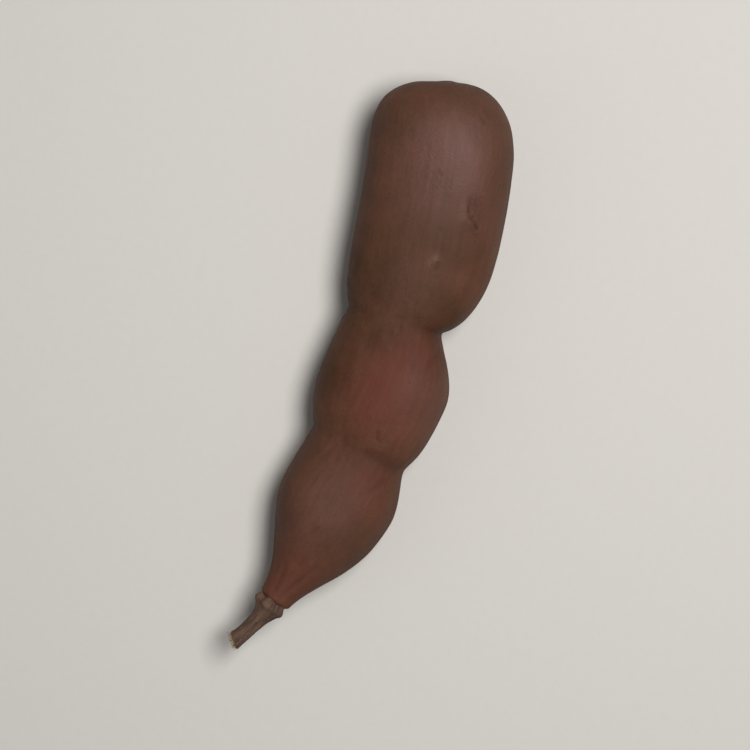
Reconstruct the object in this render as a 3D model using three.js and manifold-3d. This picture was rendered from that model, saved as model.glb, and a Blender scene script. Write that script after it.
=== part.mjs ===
// A tamarind pod as picked: one curved, lumpy shell, pinched between its seeds, with the stub of its stalk.
// Millimetres, +Z up. It lies on its flatter side, and the origin is on the surface under the box's middle.
// It runs along Y, from the stalk at -Y to the blunt tip at +Y, and its outer, convex edge faces +X.

import * as THREE from 'three';
import { mergeVertices } from 'three/addons/utils/BufferGeometryUtils.js';
import Module from 'manifold-3d';

// Driving dimensions of the shell. Distances along it start at the tip.
const SHELL_LENGTH = 103;
const BEND_AT_TIP = -14; // degrees between the pod's length and its middle line
const BEND_AT_NECK = 19.5;
const BEND_GROWTH = 1.15; // above 1, the bend tightens towards the neck
const TWIST = [-3, 4]; // degrees by which the sections turn about the middle line, at the tip and at the neck
const ROUNDNESS = 2.15; // exponent of the sections: 2 is an ellipse

// How far the shell reaches from its middle line on its four sides: where it swells round the seeds,
const BELLIES = [
  { at: 20, convex: 11.7, concave: 14.7, top: 10.9, under: 10.3 },
  { at: 57, convex: 10.2, concave: 13.4, top: 10.0, under: 9.75 },
  { at: 80, convex: 10.1, concave: 11.0, top: 9.4, under: 9.3 },
];
// and where it is pinched between them. The last one is the neck, which carries the stalk.
// The shoulders say how squarely and how fully the shell turns in before and after a pinch, and the folds how
// round the pinch is before and after its deepest place. A face is the top or the underside.
const WAISTS = [
  {
    at: 45.2, convex: 5.3, concave: 12.3, top: 8.2, under: 8.6,
    shoulders: { edge: [[3.2, 0.53], [1.8, 1]], face: [[2.6, 0.8], [1.8, 1]] },
    folds: { convex: [1.1, 2.8], concave: [3, 2.2], face: [4, 4.5] },
  },
  {
    at: 70.5, convex: 7.8, concave: 10.3, top: 7.9, under: 8.2,
    shoulders: { edge: [[2.4, 0.7], [2, 1]], face: [[2.2, 0.85], [2, 1]] },
    folds: { convex: [1.4, 2.8], concave: [3.6, 3.6], face: [4.5, 4.5] },
  },
  {
    at: SHELL_LENGTH, convex: 2.8, concave: 3.0, top: 2.9, under: 2.9,
    shoulders: { edge: [[2.3, 1]], face: [[2.3, 1]] },
    folds: { convex: [8], concave: [24], face: [24] },
  },
];

// The blunt tip: its length, how square it is, how far its point leans to the concave edge, and its scar.
const CAP_LENGTH = 16;
const CAP_SQUARENESS = 2.8;
const CAP_LEAN = 1.7;
const SCAR_RADIUS = 1.0;
const SCAR_HEIGHT = 0.35;

// Relief on the shell: the two seams along its edges, and the dip between the first two seeds.
const SEAM_HEIGHT = 0.35;
const SEAM_WIDTH = 1.5;
const SEED_DIP = { at: 23.5, depth: 0.45, width: 4.5 };
// Shallow dents where the dry shell has sunk. Round is in degrees from the convex edge, over the top.
const DENTS = [
  { at: 17, round: 128, radius: 8, depth: 0.75 },
  { at: 33, round: 62, radius: 6, depth: 0.45 },
  { at: 38, round: 138, radius: 6, depth: 0.5 },
  { at: 57, round: 118, radius: 6, depth: 0.6 },
  { at: 62, round: 52, radius: 5, depth: 0.45 },
  { at: 80, round: 100, radius: 6, depth: 0.5 },
  { at: 90, round: 60, radius: 5, depth: 0.5 },
  { at: 28, round: 218, radius: 7, depth: 0.6 },
  { at: 60, round: 312, radius: 5, depth: 0.5 },
];

// How it lies: the middle line drops towards the third belly and lifts again to the neck, and the surface
// presses a small flat spot into each belly.
const MIDDLE_HEIGHT = 10.0;
const MIDDLE_DROP = 1.0;
const NECK_LIFT = 1.6;

// The stalk: a woody stub that begins as a collar round the neck's end and ends in a slanting cut.
const STALK_LENGTH = 10;
const STALK_BEND = 16; // degrees further towards the concave side
const STALK_RISE = 6; // degrees
const STALK_PROFILE = [
  [0, 2.7],
  [0.8, 3.0],
  [1.8, 2.4],
  [3.6, 1.75],
  [6.0, 1.5],
  [8.4, 1.5],
  [STALK_LENGTH, 1.65],
]; // distance from the neck, radius
const STALK_CUT = 18; // degrees
const STALK_GAP = 0.3; // between the neck and the collar

// Mesh fineness.
const CAP_RINGS = 12;
const RING_SPACING = 1.1;
const SHELL_SIDES = 52;
const STALK_RINGS = 20;
const STALK_SIDES = 22;
const LINE_STEPS = 400;

const SIDES = ['convex', 'top', 'concave', 'under'];
const radians = THREE.MathUtils.degToRad;

// The middle line: its heading turns from BEND_AT_TIP to BEND_AT_NECK, and its height is the one it lies at.
function middleLine() {
  const points = [new THREE.Vector3(0, 0, middleHeight(0))];
  const step = SHELL_LENGTH / LINE_STEPS;
  for (let i = 0; i < LINE_STEPS; i++) {
    const angle = heading((i + 0.5) * step);
    const last = points[i];
    const height = middleHeight((i + 1) * step);
    points.push(new THREE.Vector3(last.x - Math.sin(angle) * step, last.y - Math.cos(angle) * step, height));
  }
  return points;
}

function heading(along) {
  const share = THREE.MathUtils.clamp(along / SHELL_LENGTH, 0, 1);
  return radians(THREE.MathUtils.lerp(BEND_AT_TIP, BEND_AT_NECK, share ** BEND_GROWTH));
}

function middleHeight(along) {
  const [first, , last] = BELLIES;
  const drop = MIDDLE_DROP * THREE.MathUtils.smoothstep(along, first.at, last.at);
  const lift = NECK_LIFT * Math.max(0, (along - last.at) / (SHELL_LENGTH - last.at)) ** 2;
  return MIDDLE_HEIGHT - drop + lift;
}

const MIDDLE = middleLine();

function middlePoint(along) {
  const place = THREE.MathUtils.clamp(along / SHELL_LENGTH, 0, 1) * LINE_STEPS;
  const i = Math.min(Math.floor(place), LINE_STEPS - 1);
  return new THREE.Vector3().lerpVectors(MIDDLE[i], MIDDLE[i + 1], place - i);
}

// How far the shell reaches on one side: it falls from a belly to a pinch by a power of the distance.
function reach(side, along) {
  const next = WAISTS.findIndex((waist) => along <= waist.at);
  if (along >= BELLIES[next].at) return shoulder(side, along, BELLIES[next], WAISTS[next], 0);
  if (next === 0) return BELLIES[0][side];
  return shoulder(side, along, BELLIES[next], WAISTS[next - 1], 1);
}

// One part of a pinch: 0 is the part before it, towards the tip, and 1 is the part after it.
function shoulder(side, along, belly, waist, part) {
  const face = side === 'top' || side === 'under';
  const fold = waist.folds[face ? 'face' : side][part];
  const [squareness, fullness] = waist.shoulders[face ? 'face' : 'edge'][part];
  const eased = (distance) => Math.hypot(distance, fold) - fold;
  const share = 1 - eased(along - waist.at) / eased(belly.at - waist.at);
  return waist[side] + (belly[side] - waist[side]) * Math.max(0, 1 - share ** squareness) ** fullness;
}

// What the tip's rounding leaves of the reach.
function cap(along) {
  const left = Math.max(0, 1 - along / CAP_LENGTH);
  return (1 - left ** CAP_SQUARENESS) ** (1 / CAP_SQUARENESS);
}

function bump(distance, width) {
  return Math.exp(-((distance / width) ** 2));
}

// Height of the relief at a place along the shell and an angle round it from the convex edge.
function relief(along, round, radius) {
  const arc = (degrees) => {
    const turn = round - radians(degrees);
    return radius * Math.abs(Math.atan2(Math.sin(turn), Math.cos(turn)));
  };
  let height = SEAM_HEIGHT * (bump(arc(0), SEAM_WIDTH) + bump(arc(180), SEAM_WIDTH));
  height -= SEED_DIP.depth * bump(along - SEED_DIP.at, SEED_DIP.width) * Math.sin(round) ** 2;
  for (const dent of DENTS) {
    height -= dent.depth * bump(Math.hypot(along - dent.at, arc(dent.round)), dent.radius);
  }
  return height * cap(along);
}

function shellPoint(along, round) {
  const [convex, top, concave, under] = SIDES.map((side) => reach(side, along) * cap(along));
  const [c, s] = [Math.cos(round), Math.sin(round)];
  const across = Math.abs(c) / (c > 0 ? convex : concave);
  const upright = Math.abs(s) / (s > 0 ? top : under);
  const bare = (across ** ROUNDNESS + upright ** ROUNDNESS) ** (-1 / ROUNDNESS);
  const radius = bare + relief(along, round, bare);
  const turned = round + radians(THREE.MathUtils.lerp(...TWIST, along / SHELL_LENGTH));
  const lean = CAP_LEAN * Math.max(0, 1 - along / CAP_LENGTH) ** 2;
  const sideways = radius * Math.cos(turned) - lean;
  const angle = heading(along);
  const point = middlePoint(along);
  point.x += sideways * Math.cos(angle);
  point.y -= sideways * Math.sin(angle);
  point.z += radius * Math.sin(turned);
  return point;
}

// The places of the rings: close together on the rounded tip, then evenly spaced to the neck.
function ringPlaces() {
  const places = [];
  for (let i = 1; i <= CAP_RINGS; i++) {
    const quarter = (i / CAP_RINGS) * (Math.PI / 2);
    places.push(CAP_LENGTH * (1 - Math.cos(quarter) ** (2 / CAP_SQUARENESS)));
  }
  const rest = Math.round((SHELL_LENGTH - CAP_LENGTH) / RING_SPACING);
  for (let i = 1; i <= rest; i++) places.push(THREE.MathUtils.lerp(CAP_LENGTH, SHELL_LENGTH, i / rest));
  return places;
}

// The scar of the flower's style: two small rings and a middle point that stand out of the tip.
function scarRings(firstRing) {
  const middle = firstRing.reduce((sum, p) => sum.add(p), new THREE.Vector3()).divideScalar(firstRing.length);
  const angle = heading(0);
  const outwards = new THREE.Vector3(Math.sin(angle), Math.cos(angle), 0);
  const ring = (size, height) =>
    firstRing.map((p) => {
      const arm = p.clone().sub(middle).setLength(size);
      return middle.clone().add(arm).addScaledVector(outwards, height);
    });
  const rise = firstRing[0].distanceTo(middle) * 0.1;
  const rings = [ring(SCAR_RADIUS * 0.7, rise + SCAR_HEIGHT), ring(SCAR_RADIUS, rise + SCAR_HEIGHT * 0.5)];
  return { rings, peak: middle.clone().addScaledVector(outwards, rise + SCAR_HEIGHT) };
}

// A closed skin over rings of equally many points, with a middle point at each end.
function skin(rings, firstPoint, lastPoint) {
  const sides = rings[0].length;
  const points = [firstPoint, ...rings.flat(), lastPoint];
  const index = [];
  const at = (ring, side) => 1 + ring * sides + (side % sides);
  for (let side = 0; side < sides; side++) {
    index.push(0, at(0, side + 1), at(0, side));
    for (let ring = 0; ring + 1 < rings.length; ring++) {
      const [a, b] = [at(ring, side), at(ring, side + 1)];
      const [c, d] = [at(ring + 1, side), at(ring + 1, side + 1)];
      index.push(a, b, c, b, d, c);
    }
    index.push(points.length - 1, at(rings.length - 1, side), at(rings.length - 1, side + 1));
  }
  const geometry = new THREE.BufferGeometry().setFromPoints(points);
  geometry.setIndex(index);
  return geometry;
}

function shellGeometry() {
  const rings = ringPlaces().map((along) =>
    Array.from({ length: SHELL_SIDES }, (_, side) => shellPoint(along, (side / SHELL_SIDES) * 2 * Math.PI)),
  );
  const scar = scarRings(rings[0]);
  return skin([...scar.rings, ...rings], scar.peak, middlePoint(SHELL_LENGTH));
}

// The stalk's own line leaves the neck straight on, then bends sideways and up.
function stalkGeometry() {
  const places = STALK_PROFILE.map(([along, radius]) => new THREE.Vector2(along, radius));
  const profile = new THREE.SplineCurve(places);
  const rings = [];
  const centre = middlePoint(SHELL_LENGTH);
  let before = 0;
  let direction = stalkDirection(0);
  centre.addScaledVector(direction, STALK_GAP);
  const start = centre.clone();
  for (let i = 0; i <= STALK_RINGS; i++) {
    const { x: along, y: radius } = profile.getPoint(i / STALK_RINGS);
    direction = stalkDirection(along / STALK_LENGTH);
    centre.addScaledVector(direction, along - before);
    before = along;
    rings.push(stalkRing(centre, direction, radius, along / STALK_LENGTH));
  }
  return skin(rings, start, centre.clone());
}

function stalkDirection(share) {
  const sideways = heading(SHELL_LENGTH) + radians(STALK_BEND) * share;
  const up = radians(STALK_RISE) * share;
  const level = Math.cos(up);
  return new THREE.Vector3(-Math.sin(sideways) * level, -Math.cos(sideways) * level, Math.sin(up));
}

function stalkRing(centre, direction, radius, share) {
  const across = new THREE.Vector3(-direction.y, direction.x, 0).normalize();
  const up = new THREE.Vector3().crossVectors(direction, across).normalize();
  const slant = Math.tan(radians(STALK_CUT)) * share ** 6;
  return Array.from({ length: STALK_SIDES }, (_, side) => {
    const angle = (side / STALK_SIDES) * 2 * Math.PI;
    const [x, z] = [radius * Math.cos(angle), radius * Math.sin(angle)];
    const point = centre.clone().addScaledVector(across, x).addScaledVector(up, z);
    return point.addScaledVector(direction, slant * x);
  });
}

function solidOf(geometry) {
  const bare = new THREE.BufferGeometry().setAttribute('position', geometry.getAttribute('position'));
  bare.setIndex(geometry.index);
  const merged = mergeVertices(bare, 1e-4);
  return new wasm.Manifold(
    new wasm.Mesh({
      numProp: 3,
      vertProperties: new Float32Array(merged.getAttribute('position').array),
      triVerts: new Uint32Array(merged.index.array),
    }),
  );
}

function geometryOf(solid) {
  const { vertProperties, triVerts } = solid.getMesh();
  const geometry = new THREE.BufferGeometry();
  geometry.setAttribute('position', new THREE.BufferAttribute(new Float32Array(vertProperties), 3));
  geometry.setIndex(new THREE.BufferAttribute(new Uint32Array(triVerts), 1));
  geometry.computeVertexNormals();
  return geometry;
}

// The surface that the pod lies on takes a thin slice off each belly, which leaves its flat spots.
function flattenedUnder(geometry) {
  const size = 3 * SHELL_LENGTH;
  const ground = new THREE.BoxGeometry(size, size, size).translate(0, 0, -size / 2);
  return geometryOf(solidOf(geometry).subtract(solidOf(ground)));
}

const wasm = await Module();
wasm.setup();

const shellMaterial = new THREE.MeshStandardMaterial({ color: '#734f42', roughness: 0.72, metalness: 0 });
const stalkMaterial = new THREE.MeshStandardMaterial({ color: '#6d5140', roughness: 0.85, metalness: 0 });

const pod = new THREE.Mesh(flattenedUnder(shellGeometry()), shellMaterial);
pod.name = 'pod';
const stalk = new THREE.Mesh(stalkGeometry(), stalkMaterial);
stalk.name = 'stalk';
stalk.geometry.computeVertexNormals();

const tamarind = new THREE.Group();
tamarind.add(pod, stalk);

// The origin goes under the middle of the box round both pieces.
const middleOfBox = new THREE.Box3().setFromObject(tamarind).getCenter(new THREE.Vector3());
tamarind.position.set(-middleOfBox.x, -middleOfBox.y, 0);

export default tamarind;
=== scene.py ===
import math

import bpy
import numpy as np
from bpy.props import FloatProperty, FloatVectorProperty, IntProperty, PointerProperty
from mathutils import Matrix, Vector


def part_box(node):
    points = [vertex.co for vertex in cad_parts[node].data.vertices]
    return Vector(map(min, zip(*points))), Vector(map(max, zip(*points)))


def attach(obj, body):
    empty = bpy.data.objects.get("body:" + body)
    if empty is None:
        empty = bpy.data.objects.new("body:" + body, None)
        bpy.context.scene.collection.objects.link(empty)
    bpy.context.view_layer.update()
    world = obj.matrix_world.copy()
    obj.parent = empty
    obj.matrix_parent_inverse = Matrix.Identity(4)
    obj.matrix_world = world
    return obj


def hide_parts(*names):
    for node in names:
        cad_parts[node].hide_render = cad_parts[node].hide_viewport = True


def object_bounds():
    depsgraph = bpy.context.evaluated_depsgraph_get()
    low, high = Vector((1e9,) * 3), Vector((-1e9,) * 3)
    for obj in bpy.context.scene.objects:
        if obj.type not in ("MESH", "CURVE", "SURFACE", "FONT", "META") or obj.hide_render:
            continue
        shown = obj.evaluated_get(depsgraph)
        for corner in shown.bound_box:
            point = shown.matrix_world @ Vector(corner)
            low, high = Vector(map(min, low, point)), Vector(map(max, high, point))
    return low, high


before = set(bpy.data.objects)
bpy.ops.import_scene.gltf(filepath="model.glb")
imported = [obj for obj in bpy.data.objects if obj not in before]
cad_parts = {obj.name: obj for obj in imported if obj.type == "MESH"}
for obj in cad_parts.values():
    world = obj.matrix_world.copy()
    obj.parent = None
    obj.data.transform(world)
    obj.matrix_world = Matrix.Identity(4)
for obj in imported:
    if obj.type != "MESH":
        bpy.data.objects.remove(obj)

bl_info = {
    "name": "Tamarind Pod",
    "version": (1, 0, 0),
    "blender": (4, 5, 0),
    "location": "3D View > Sidebar > Tamarind",
    "description": "Grows a tamarind pod's shell and stalk, and sets a small studio for it",
    "category": "Add Mesh",
}

FRAME_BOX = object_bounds()
MM = 0.001  # the form below is in millimetres, the meshes are in metres


def table(columns, *rows):
    """Rows of values as dictionaries, under the names of their columns."""
    return tuple(dict(zip(columns.split(), row)) for row in rows)


# The form of the pod. Distances along it start at the tip. Angles round it start at the convex edge, which
# faces +X, and go over the top.
SHELL_LENGTH = 103
BEND_AT_TIP = -14  # degrees between the pod's length and its middle line
BEND_AT_NECK = 19.5
BEND_GROWTH = 1.15
TWIST_AT_TIP = -3  # degrees
TWIST_AT_NECK = 4
ROUNDNESS = 2.15  # exponent of the sections: 2 is an ellipse

# How far the shell reaches from its middle line on its four sides, where it swells round the seeds,
BELLIES = table(
    "at convex concave top under",
    (20, 11.7, 14.7, 10.9, 10.3),
    (57, 10.2, 13.4, 10.0, 9.75),
    (80, 10.1, 11.0, 9.4, 9.3),
)
# and where it is pinched. The last pinch is the neck. The shoulders say how squarely and how fully the shell
# turns in before and after a pinch, and the folds how round the pinch is before and after its deepest place.
# A face is the top or the underside.
WAISTS = (
    {
        "at": 45.2, "convex": 5.3, "concave": 12.3, "top": 8.2, "under": 8.6,
        "shoulders": {"edge": ((3.2, 0.53), (1.8, 1)), "face": ((2.6, 0.8), (1.8, 1))},
        "folds": {"convex": (1.1, 2.8), "concave": (3, 2.2), "face": (4, 4.5)},
    },
    {
        "at": 70.5, "convex": 7.8, "concave": 10.3, "top": 7.9, "under": 8.2,
        "shoulders": {"edge": ((2.4, 0.7), (2, 1)), "face": ((2.2, 0.85), (2, 1))},
        "folds": {"convex": (1.4, 2.8), "concave": (3.6, 3.6), "face": (4.5, 4.5)},
    },
    {
        "at": SHELL_LENGTH, "convex": 2.8, "concave": 3.0, "top": 2.9, "under": 2.9,
        "shoulders": {"edge": ((2.3, 1),), "face": ((2.3, 1),)},
        "folds": {"convex": (8,), "concave": (24,), "face": (24,)},
    },
)

CAP_LENGTH = 16
CAP_SQUARENESS = 2.8
CAP_LEAN = 1.7
STYLE_SCAR = {"radius": 1.1, "height": 0.35, "shade": 1.6}  # a nub, its shade in its radii

SEAM_GROOVE = {"depth": 0.5, "narrowness": 5}  # along each seam, in the height and width of its ridge
SEED_DIP = {"at": 23.5, "depth": 0.45, "width": 4.5}
DENTS = table(
    "at round radius depth",
    (17, 128, 8, 0.75),
    (33, 62, 6, 0.45),
    (38, 138, 6, 0.5),
    (57, 118, 6, 0.6),
    (62, 52, 5, 0.45),
    (80, 100, 6, 0.5),
    (90, 60, 5, 0.5),
    (28, 218, 7, 0.6),
    (60, 312, 5, 0.5),
)

# Creases that run out of the pinches, each from one place to another (distance along, degrees round).
CREASES = table(
    "from to depth width",
    ((45.4, 30), (45.0, 100), 0.22, 1.3),
    ((45.4, -34), (44.6, -100), 0.25, 1.3),
    ((47.6, 40), (52.2, 64), 0.12, 0.7),
    ((47.6, -42), (52.8, -66), 0.16, 0.6),
    ((43.2, -46), (39.0, -66), 0.12, 0.6),
    ((47.4, 86), (53.4, 74), 0.06, 0.5),
    ((47.6, 99), (52.4, 92), 0.06, 0.45),
    ((45.4, 150), (46.2, 214), 0.12, 1.2),
    ((70.6, 34), (70.0, 92), 0.18, 1.1),
    ((70.6, -34), (70.9, -92), 0.2, 1.0),
    ((72.4, 44), (76.4, 66), 0.1, 0.6),
    ((72.4, -40), (77.0, -60), 0.12, 0.55),
    ((71.4, 128), (76.0, 138), 0.08, 0.6),
    ((69.6, 152), (70.8, 206), 0.12, 0.9),
    ((93.0, 62), (102.5, 72), 0.12, 0.55),
    ((95.5, 118), (102.5, 110), 0.12, 0.5),
    ((92.0, 168), (102.5, 158), 0.14, 0.5),
    ((94.0, -66), (102.5, -76), 0.12, 0.5),
    ((93.0, -128), (102.5, -118), 0.12, 0.5),
)
CREASE_START = 0.12  # how far through its rise and fall a crease begins, so that it is soon deep
CREASE_LIP = 0.35  # height of the lip beside a crease, in its depths
# The width of its painted shade, in its widths, and the depth at which its painted shade is full.
PAINTED_CREASE_SHADE = {"width": 0.8, "full_depth": 0.3}
# Healed scars in the shell: a chain of places, how deep, how wide at its two ends, and how dark.
SCARS = table(
    "path depth widths tone",
    (((20.4, 66.5), (22.6, 65.5), (23.8, 62.5)), 0.05, (0.35, 0.5), 0.75),
    (((23.9, 60), (24.5, 57.5), (25.4, 54)), 0.1, (0.4, 0.45), 0.9),
    (((20.6, 61.5), (25.2, 59)), 0, (1.1, 1.4), 0.42),
    (((25.8, 64), (26.3, 55)), 0, (0.7, 0.9), 0.35),
    (((32.8, 85), (34.0, 84.5)), 0.08, (0.35, 0.4), 0.6),
    (((29.4, 85), (30.6, 83)), 0.03, (0.35, 0.3), 0.3),
    (((26.6, 90), (27.1, 87)), 0.03, (0.4, 0.35), 0.3),
    (((6.4, 60), (6.9, 58)), 0.05, (0.35, 0.3), 0.35),
    (((16.6, 101), (17.0, 99)), 0.04, (0.35, 0.3), 0.4),
    (((65.4, 86), (66.6, 83), (66.9, 79)), 0.08, (0.35, 0.2), 0.45),
    (((86.0, 96), (87.2, 98)), 0.06, (0.3, 0.2), 0.4),
    (((30.0, 236), (33.5, 240), (35.0, 247)), 0.12, (0.5, 0.3), 0.6),
    (((57.0, 262), (58.6, 256)), 0.08, (0.35, 0.3), 0.5),
)
SCAR_LIP = 0.5  # height of the lip beside a scar, in its depths
SCAR_SHADE = 1.1  # width of its shade, in its widths
# Pale blisters and rubs, where the scurf has come off, with how pale each is.
RUBS = table(
    "at round radius height tone",
    (32.1, 88.5, 0.75, 0.14, 1.0),
    (33.2, 94, 0.7, 0.08, 0.7),
    (22.2, 71, 0.8, 0.03, 0.5),
    (23.8, 69.5, 0.8, 0.04, 0.6),
    (24.6, 61.5, 0.5, 0.02, 0.5),
    (25.0, 255, 1.6, 0.08, 0.8),
)
# Where the shell's hue drifts: mauve under thick dust, and red where it has worn thin, with reddish reflected
# light painted on the second lobe. Olive, with painted shade, lies on the left side, along the right edge and
# in the pinches.
HUES = {
    "dusty": table(
        "at round radius share",
        (16, 112, 9, 0.85),
        (13, 79, 7.5, 0.7),
        (37.5, 110, 5, 0.5),
        (22, 30, 8, 0.2),
        (57, 46, 6, 0.65),
        (84, 100, 8, 0.5),
        (22, 260, 12, 0.5),
        (66, 250, 10, 0.5),
    ),
    # Worn patches: the first two, on the second lobe, are painted reddish reflected light. The others are
    # worn shell.
    "worn": table(
        "at round radius share",
        (59, 94, 8, 0.85),
        (50, 76, 5, 0.55),
        (76, 70, 6, 0.5),
        (98, 90, 8, 0.4),
        (48, 270, 9, 0.5),
    ),
    # Olive patches: partly painted shade, on the left side, along the right edge and in the pinches.
    "olive": table(
        "at round radius share",
        (37, 158, 8, 0.95),
        (45, 150, 6, 0.8),
        (44.5, 102, 6, 1.5),
        (45, 66, 6.5, 1.6),
        (50, 52, 5, 0.9),
        (24, 102, 6, 0.6),
        (71, 70, 5, 0.8),
        (70, 130, 5, 0.6),
        (16, 165, 9, 0.6),
        (29, 50, 9, 0.5),
        (6, 118, 5, 0.5),
        (17, 30, 6, 0.6),
        (58, 150, 8, 0.95),
        (88, 160, 8, 0.7),
        (38, 230, 9, 0.6),
    ),
}

# Where the shell puckers: beside each pinch and towards the neck, but hardly on the outer seam.
PUCKERS = {"width": 6, "seam_width": 5, "seam_share": 0.2}
NECK_PUCKERS = {"from": 90, "length": 12, "share": 0.6}

# How it lies.
MIDDLE_HEIGHT = 10.0
MIDDLE_DROP = 1.0
NECK_LIFT = 1.6
NECK_LIP = {"length": 1.1, "turn_in": 0.75}  # how far the neck's end rounds in to the stalk
SETTLE = 0.3  # how softly the underside rounds into the surface that it lies on

# The stalk, from the neck's end: distance and radius.
STALK_LENGTH = 10
STALK_BEND = 16  # degrees between the headings of its two ends
STALK_RISE = 6  # degrees above level at its end
STALK_PROFILE = (
    (0, 2.7),
    (0.8, 3.0),
    (1.8, 2.4),
    (3.6, 1.75),
    (6.0, 1.5),
    (8.4, 1.5),
    (STALK_LENGTH, 1.65),
)
STALK_GAP = 0.3
STALK_ROOT = 0.9  # how far the root goes back from the stalk's start, into the neck
ROOT_RADIUS = 2.2
COLLAR = {"whole_to": 1.6, "end": 3.4}  # how far along the stalk its five lobes reach
STALK_CUT = 18  # degrees that the cut leans
CUT_START = 6  # the power of the distance along the stalk with which the cut's lean sets in
CUT_RINGS = 9
CUT_STEP = 0.02
CUT_EDGE = 0.005  # how far before the cut's rim the bark gives way to it
CUT_MIDDLE = 0.02  # what is left of the radius in the middle of the cut
PITH = 0.75  # where on the cut, from its rim to its middle, the pith starts

# How much slower the veins and the bark's wrinkles vary lengthwise than round the pod and the stalk.
VEIN_DRAW = 0.14
BARK_DRAW = 0.16
# The most pieces that are spread on a square metre.
FLAKE_DENSITY = 4.0e6
WART_DENSITY = 1.0e6
FIBRE_DENSITY = 2.0e7

VECTORS = ("straight", "rim")  # the values on the meshes that are vectors and not single numbers

LINE_STEPS = 400
CAP_RINGS = 48

# The studio. The image is square, the pod leans in it, and the camera stands a little towards the tip.
LEAN = 17.8  # degrees from upright in the image
CAMERA_TIP = 5  # degrees from straight above
CAMERA_DISTANCE = 0.55  # metres
SENSOR_WIDTH = 36
FRAME_HEIGHT = 0.138  # what the image's height covers at the pod
# The lights: how far to the pod's right, up the image and over the pod each stands, and its size, in metres.
LIGHTS = {
    "key": {"right": 0.145, "up": 0.10, "over": 0.5, "width": 0.22, "length": 0.3},
    "fill": {"right": -0.45, "up": -0.10, "over": 0.35, "width": 0.5, "length": 0.5},
}


def from_hex(colour):
    """An sRGB hex colour as the linear values that shaders and colour properties hold."""
    parts = [int(colour[i : i + 2], 16) / 255 for i in (1, 3, 5)]
    linear = [part / 12.92 if part <= 0.04045 else ((part + 0.055) / 1.055) ** 2.4 for part in parts]
    return (*linear, 1.0)


def colour_property(name, description, colour):
    return FloatVectorProperty(
        name=name, description=description, default=from_hex(colour), size=4, min=0, max=1, subtype="COLOR"
    )


def length_property(name, description, millimetres):
    return FloatProperty(
        name=name, description=description, default=millimetres * MM, min=0, unit="LENGTH", precision=5
    )


class ShellSettings(bpy.types.PropertyGroup):
    rings: IntProperty(name="Rings", description="Rings of points along the shell", default=410, min=60)
    sides: IntProperty(name="Sides", description="Points round each ring", default=220, min=24)
    seed: IntProperty(name="Seed", description="Varies the random relief", default=4, min=0)
    seam_height: length_property("Seam height", "How far the two seams stand out of the edges", 0.35)
    seam_width: length_property("Seam width", "Half the width of a seam's ridge", 1.5)
    swell_height: length_property("Swell height", "Height of the broad unevenness of the shell", 0.34)
    swell_width: length_property("Swell width", "Width of one broad swell", 11)
    pucker_height: length_property("Pucker height", "Height of the puckers beside the pinches", 0.2)
    pucker_width: length_property("Pucker width", "Width of one pucker", 2.6)
    vein_height: length_property("Vein height", "Height of the veins that run along the shell", 0.08)
    vein_width: length_property("Vein width", "Spacing of the veins round the shell", 2.4)
    tan: colour_property("Tan", "Colour of the shell's paler patches", "#613c2a")
    umber: colour_property("Umber", "Colour of its darker patches", "#503222")
    mauve: colour_property("Mauve", "Colour where the dust lies thick", "#603e35")
    # Russet also carries painted reddish reflected light on the second lobe, besides its worn patches.
    russet_and_red_reflection: colour_property("Russet", "Colour where the dust has worn thin", "#622b1d")
    # Olive also carries painted shade: the shaded side and the pinches are painted darker in this colour.
    olive: colour_property("Olive", "Colour of the shaded side", "#442813")
    # The crease colour is painted shade in the creases, and the own dark colour of the scars and specks.
    crease: colour_property("Crease", "Colour in the creases and scars", "#3a1d14")
    bloom: colour_property("Bloom", "Colour of the grains of dust and of the rubs", "#785a4c")


class ScurfSettings(bpy.types.PropertyGroup):
    flake_width: length_property("Flake width", "Width of the largest flakes", 0.42)
    flatness: FloatProperty(
        name="Flatness", description="Thickness of a flake in its widths", default=0.14, min=0
    )
    spacing: length_property("Spacing", "Least distance between two flakes", 1.1)
    seed: IntProperty(name="Seed", description="Varies where the flakes lie", default=11, min=0)
    tone: colour_property("Flake", "Colour of the flakes", "#50342a")


class StalkSettings(bpy.types.PropertyGroup):
    steps: IntProperty(name="Steps", description="Rings of points along the stalk", default=120, min=20)
    sides: IntProperty(name="Sides", description="Points round each ring", default=96, min=12)
    seed: IntProperty(name="Seed", description="Varies the bark", default=7, min=0)
    bark_height: length_property("Bark height", "Height of the wrinkles along the bark", 0.3)
    bark_width: length_property("Bark width", "Spacing of the wrinkles round the bark", 0.7)
    lobe_height: length_property("Lobe height", "How far the scars of the five sepals stand out", 0.28)
    tear_height: length_property("Tear height", "How unevenly the cut end is torn", 0.35)
    fibre_length: length_property("Fibre length", "Length of the longest torn fibres", 1.0)
    wart_width: length_property("Wart width", "Width of the largest bark warts", 0.38)
    bark: colour_property("Bark", "Colour of the bark", "#654c3e")
    bark_dark: colour_property("Bark, dark", "Colour between the wrinkles", "#382920")
    wood: colour_property("Wood", "Colour of the cut end and its fibres", "#a88a66")
    wart: colour_property("Wart", "Colour of the bark warts", "#7a6252")


class StudioSettings(bpy.types.PropertyGroup):
    floor: colour_property("Floor", "Colour of the floor", "#cfcbc5")
    floor_size: FloatProperty(name="Floor size", description="Width of the floor", default=6, unit="LENGTH")
    key_power: FloatProperty(name="Key", description="Power of the long light", default=2.85, unit="POWER")
    fill_power: FloatProperty(name="Fill", description="Power of the weak light", default=0.25, unit="POWER")
    sky: FloatProperty(name="Sky", description="Strength of the even light from all round", default=0.12)


def bump(distance, width):
    return np.exp(-((distance / width) ** 2))


def smooth(share):
    share = np.clip(share, 0, 1)
    return share * share * (3 - 2 * share)


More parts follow.
